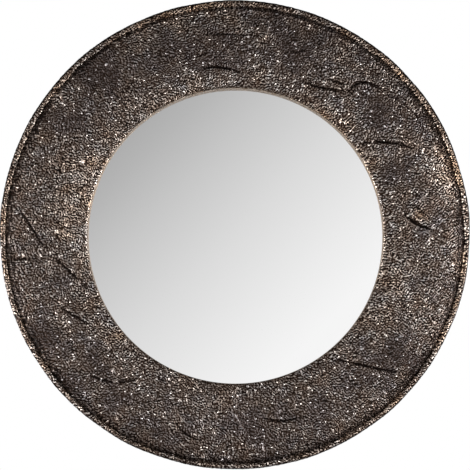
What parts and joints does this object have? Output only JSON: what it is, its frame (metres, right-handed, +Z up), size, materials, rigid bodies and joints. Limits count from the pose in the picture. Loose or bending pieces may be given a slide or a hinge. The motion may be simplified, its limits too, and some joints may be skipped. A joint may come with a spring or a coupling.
{
  "type": "round wall mirror",
  "caption": "Round wall mirror: a flat silvered glass in a broad cast ring frame with a crumpled bronze face, a grooved and beaded rim, a fibreboard back and a flush keyhole hanger plate.",
  "frame": {"origin": "centre of the backing board's back face, in the plane of the wall that the mirror hangs on", "axes": "+Y out of the back into the wall, so the glass looks along -Y; +Z up, towards the keyhole plate; +X to the right of a person who looks into the mirror"},
  "size_m": [0.8002, 0.0348, 0.8002],
  "materials": {
    "bronze_patina": "cast metal with a dark brown bronze patina, rubbed back to pale metal on the high spots of its wrinkles",
    "silvered_glass": "polished flat float glass, silvered behind",
    "fibreboard": "bare hardboard, smooth side out",
    "zinc_steel": "bright zinc plating on pressed steel"
  },
  "bodies": {
    "root": {"frame": "bronze_patina", "mirror_glass": "silvered_glass", "backing_board": "fibreboard", "keyhole_plate": "zinc_steel", "plate_screw_left": "zinc_steel", "plate_screw_right": "zinc_steel", "board_screw_1": "zinc_steel", "board_screw_2": "zinc_steel", "board_screw_3": "zinc_steel", "board_screw_4": "zinc_steel", "board_screw_5": "zinc_steel", "board_screw_6": "zinc_steel", "board_screw_7": "zinc_steel", "board_screw_8": "zinc_steel"}
  },
  "joints": []
}
